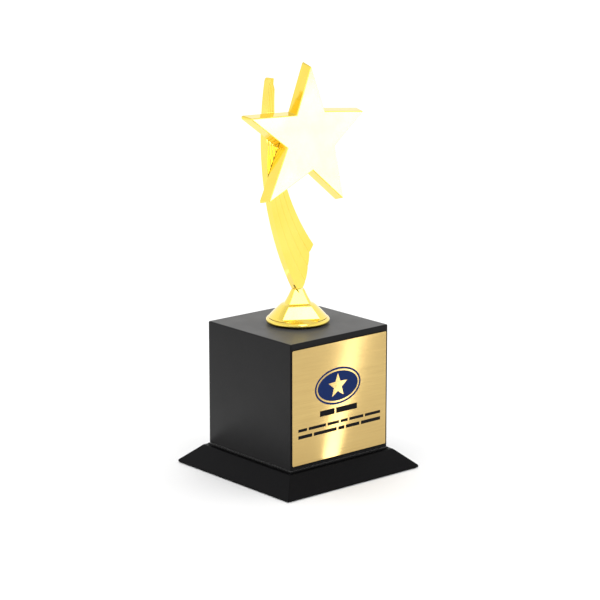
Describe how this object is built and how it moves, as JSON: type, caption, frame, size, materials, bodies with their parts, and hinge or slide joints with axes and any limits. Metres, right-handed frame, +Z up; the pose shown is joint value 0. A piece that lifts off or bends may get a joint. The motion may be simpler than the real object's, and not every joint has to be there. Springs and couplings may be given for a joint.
{
  "type": "star trophy",
  "caption": "Award trophy: gold five-pointed star on a curved fluted comet tail and flared foot, bolted to a black box base with a brushed gold plate, on a sloped plinth.",
  "frame": {"origin": "on the surface it stands on, under the middle of the base", "axes": "+Z up, -Y the front with the name plate and the star's face, +X to the right as seen from the front"},
  "size_m": [0.1016, 0.1016, 0.2412],
  "materials": {
    "gold": "polished gold plating on a die casting",
    "plate": "brushed gold-coloured metal sheet",
    "lacquer": "fibreboard sprayed with black satin lacquer",
    "board": "bare fibreboard",
    "steel": "zinc plated",
    "felt": "black felt",
    "tape": "double-sided foam tape"
  },
  "bodies": {
    "root": {"felt_pad": "felt", "plinth_board": "lacquer", "spacer_sheet": "lacquer", "box_front_panel": "lacquer", "box_rear_panel": "lacquer", "box_left_panel": "lacquer", "box_right_panel": "lacquer", "box_top_panel": "lacquer", "box_bottom_panel": "board", "glue_block_front_left": "board", "glue_block_front_right": "board", "glue_block_rear_left": "board", "glue_block_rear_right": "board", "base_screw_front_left": "steel", "base_screw_front_right": "steel", "base_screw_rear_left": "steel", "base_screw_rear_right": "steel", "plate_tape": "tape", "name_plate": "plate", "foot_bolt": "steel", "foot_bolt_washer": "steel", "figure_foot": "gold", "tail_screw": "steel", "comet_tail": "gold", "star": "gold", "star_screw_upper": "steel", "star_screw_lower": "steel"}
  },
  "joints": []
}
